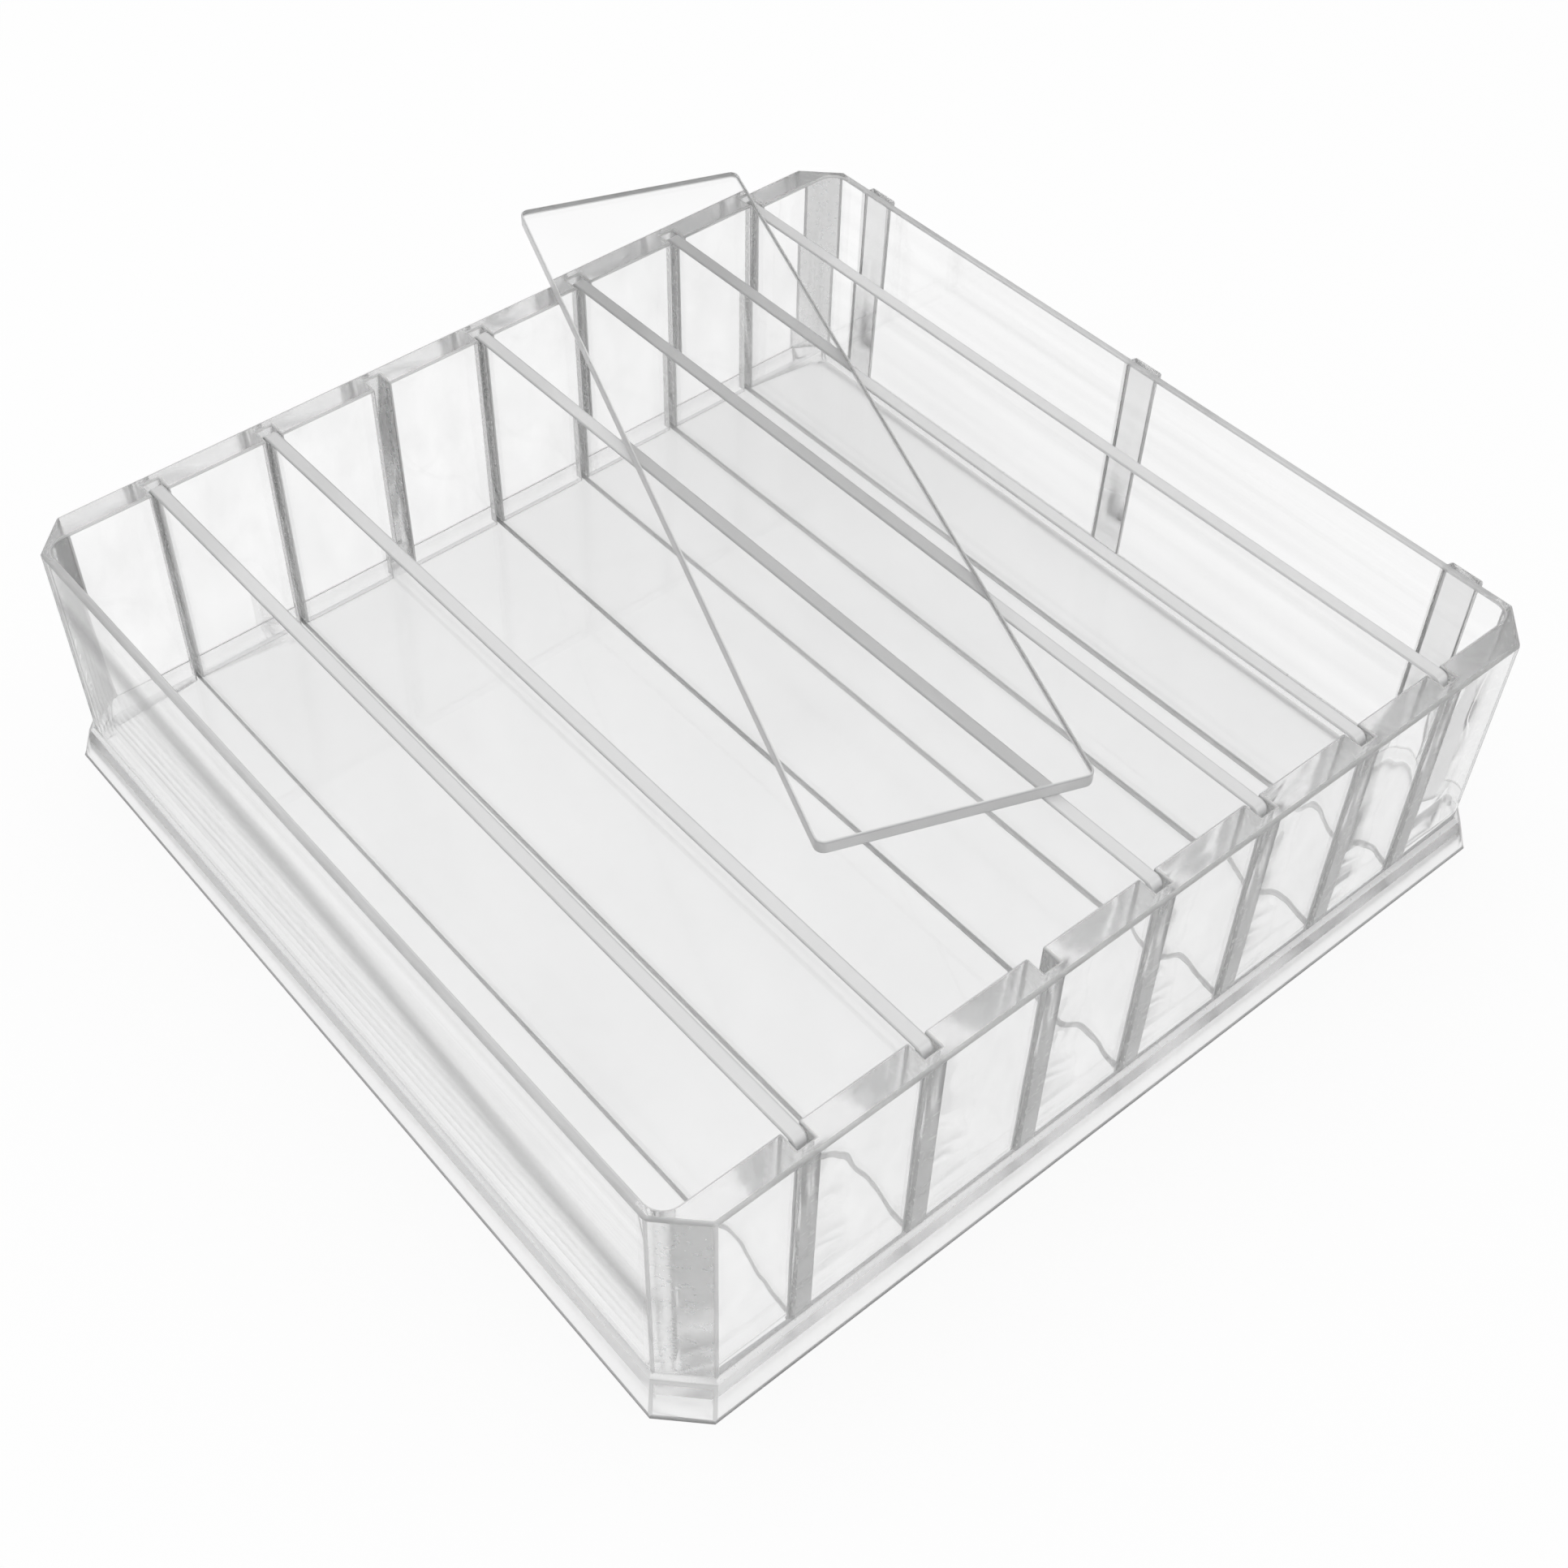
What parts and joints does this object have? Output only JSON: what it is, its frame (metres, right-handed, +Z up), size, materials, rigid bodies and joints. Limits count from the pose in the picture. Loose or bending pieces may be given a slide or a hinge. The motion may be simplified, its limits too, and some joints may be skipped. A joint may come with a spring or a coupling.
{
  "type": "makeup organizer",
  "caption": "Clear square tray with a flared base and long compartments between lift-out dividers; a loose divider lies slantwise across the rim.",
  "frame": {"origin": "middle of the tray's base outline, on the table", "axes": "+Z up; +X across the compartments, towards the wall with the three ribs; +Y along the compartments, towards the end over which the loose divider hangs out"},
  "size_m": [0.28, 0.3039, 0.0801],
  "materials": {
    "tray_clear": "clear, polished",
    "divider_clear": "clear, polished"
  },
  "bodies": {
    "tray": {"tray": "tray_clear"},
    "divider_1": {"divider_1": "divider_clear"},
    "divider_2": {"divider_2": "divider_clear"},
    "divider_3_loose": {"divider_3_loose": "divider_clear"},
    "divider_4": {"divider_4": "divider_clear"},
    "divider_5": {"divider_5": "divider_clear"},
    "divider_6": {"divider_6": "divider_clear"},
    "divider_7": {"divider_7": "divider_clear"}
  },
  "joints": [
    {"name": "divider_1_lift", "type": "slide", "parent": "tray", "child": "divider_1", "axis": [0, 0, 1], "range_m": [0, 0.075]},
    {"name": "divider_2_lift", "type": "slide", "parent": "tray", "child": "divider_2", "axis": [0, 0, 1], "range_m": [0, 0.075]},
    {"name": "divider_3_lift", "type": "slide", "parent": "tray", "child": "divider_3_loose", "axis": [0, 0, 1], "range_m": [0, 0.15]},
    {"name": "divider_4_lift", "type": "slide", "parent": "tray", "child": "divider_4", "axis": [0, 0, 1], "range_m": [0, 0.075]},
    {"name": "divider_5_lift", "type": "slide", "parent": "tray", "child": "divider_5", "axis": [0, 0, 1], "range_m": [0, 0.075]},
    {"name": "divider_6_lift", "type": "slide", "parent": "tray", "child": "divider_6", "axis": [0, 0, 1], "range_m": [0, 0.075]},
    {"name": "divider_7_lift", "type": "slide", "parent": "tray", "child": "divider_7", "axis": [0, 0, 1], "range_m": [0, 0.075]}
  ],
  "couplings": [
    {"joint": "divider_4_lift", "follows": "divider_3_lift", "ratio": 0.5},
    {"joint": "divider_5_lift", "follows": "divider_3_lift", "ratio": 0.5},
    {"joint": "divider_6_lift", "follows": "divider_3_lift", "ratio": 0.5},
    {"joint": "divider_7_lift", "follows": "divider_3_lift", "ratio": 0.5}
  ]
}
